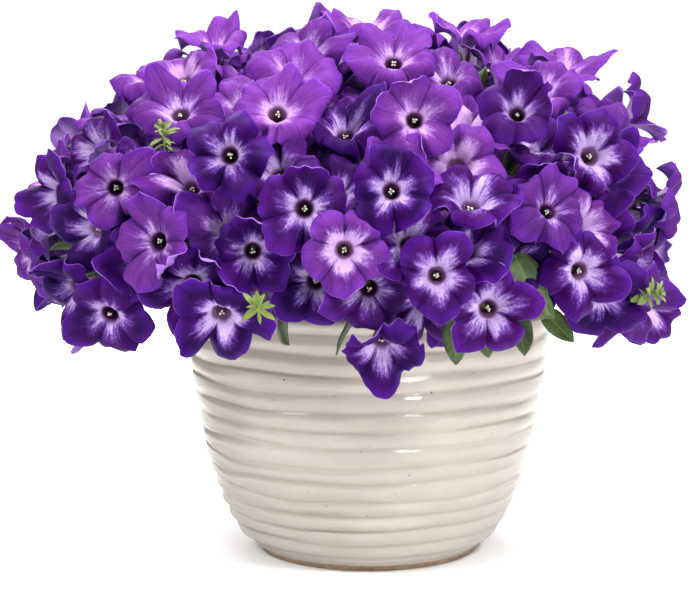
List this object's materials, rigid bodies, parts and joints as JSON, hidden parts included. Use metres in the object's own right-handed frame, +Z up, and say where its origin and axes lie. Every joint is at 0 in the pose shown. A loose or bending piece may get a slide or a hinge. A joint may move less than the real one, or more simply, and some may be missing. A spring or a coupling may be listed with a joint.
{
  "type": "potted petunia",
  "caption": "Mounded flowering petunia plant with five-lobed violet blooms, growing in a ribbed glazed ceramic pot that stands on its foot.",
  "frame": {"origin": "centre of the pot's flat underside, on the surface that it stands on", "axes": "+Z up along the pot's axis; the pictured front faces -Y, and +X is to the right of it"},
  "size_m": [0.4775, 0.4658, 0.3833],
  "materials": {
    "glaze": "gloss",
    "soil": "matte",
    "leaf": "satin",
    "petal": "satin"
  },
  "bodies": {
    "root": {"pot": "glaze", "soil": "soil", "leafy_stem_01": "leaf", "leafy_stem_02": "leaf", "leafy_stem_03": "leaf", "leafy_stem_04": "leaf", "leafy_stem_05": "leaf", "leafy_stem_06": "leaf", "leafy_stem_07": "leaf", "leafy_stem_08": "leaf", "leafy_stem_09": "leaf", "leafy_stem_10": "leaf", "leafy_stem_11": "leaf", "blooms_01": "petal", "blooms_02": "petal", "blooms_03": "petal", "blooms_04": "petal", "blooms_05": "petal", "blooms_06": "petal", "blooms_07": "petal", "blooms_08": "petal", "blooms_09": "petal", "blooms_10": "petal", "blooms_11": "petal", "blooms_12": "petal", "blooms_13": "petal", "blooms_14": "petal", "blooms_15": "petal", "blooms_16": "petal", "blooms_17": "petal", "blooms_18": "petal", "blooms_19": "petal", "blooms_20": "petal", "blooms_21": "petal", "blooms_22": "petal", "blooms_23": "petal", "blooms_24": "petal", "blooms_25": "petal", "blooms_26": "petal", "blooms_27": "petal", "blooms_28": "petal", "blooms_29": "petal", "blooms_30": "petal", "blooms_31": "petal", "blooms_32": "petal", "blooms_33": "petal", "blooms_34": "petal", "blooms_35": "petal", "blooms_36": "petal", "blooms_37": "petal", "blooms_38": "petal", "blooms_39": "petal", "blooms_40": "petal", "blooms_41": "petal", "blooms_42": "petal", "blooms_43": "petal", "blooms_44": "petal"}
  },
  "joints": []
}
